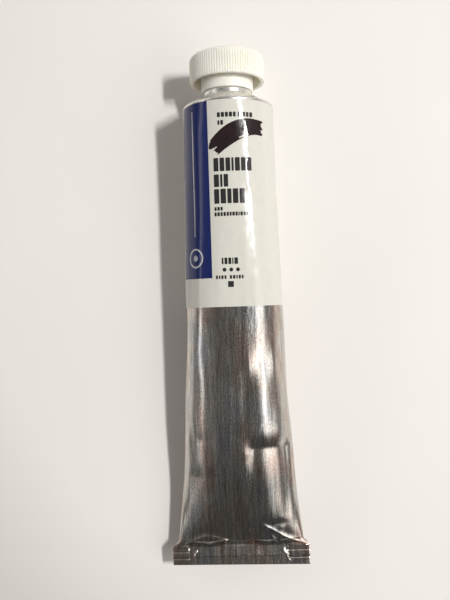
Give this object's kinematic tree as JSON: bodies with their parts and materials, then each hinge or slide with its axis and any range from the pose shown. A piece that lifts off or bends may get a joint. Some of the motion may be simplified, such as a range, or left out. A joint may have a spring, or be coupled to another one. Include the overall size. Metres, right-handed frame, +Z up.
{
  "type": "paint tube",
  "caption": "Full metal squeeze tube of oil paint lying flat, with a folded tail, a printed upper wrap and a ribbed screw cap that unscrews from its nozzle.",
  "frame": {"origin": "middle of the footprint, on the surface the tube lies on", "axes": "+Y along the tube's axis towards the cap, +Z up through the printed side, +X across the tube to the right"},
  "size_m": [0.0596, 0.2188, 0.0382],
  "materials": {
    "drawn_aluminium": "brushed",
    "bare_aluminium": "satin",
    "sealing_compound": "matte",
    "oil_paint": "glossy paste",
    "label_film": "gloss print",
    "cap_plastic": "satin",
    "liner_foam": "matte"
  },
  "bodies": {
    "tube": {"tube_body": "drawn_aluminium", "nozzle_shoulder": "bare_aluminium", "tail_seal": "sealing_compound", "paint_fill": "oil_paint", "wrap_label": "label_film"},
    "liner": {"cap_liner": "liner_foam"},
    "cap": {"screw_cap": "cap_plastic"}
  },
  "joints": [
    {"name": "cap_lift", "type": "slide", "parent": "tube", "child": "liner", "axis": [0, 1, 0], "range_m": [0, 0.018]},
    {"name": "cap_turn", "type": "hinge", "parent": "liner", "child": "cap", "pos_m": [0, 0.1, 0.019], "axis": [0, 1, 0], "range_deg": [0, 2160]}
  ],
  "couplings": [
    {"joint": "cap_lift", "follows": "cap_turn", "m_per_rad": 0.00047746}
  ]
}
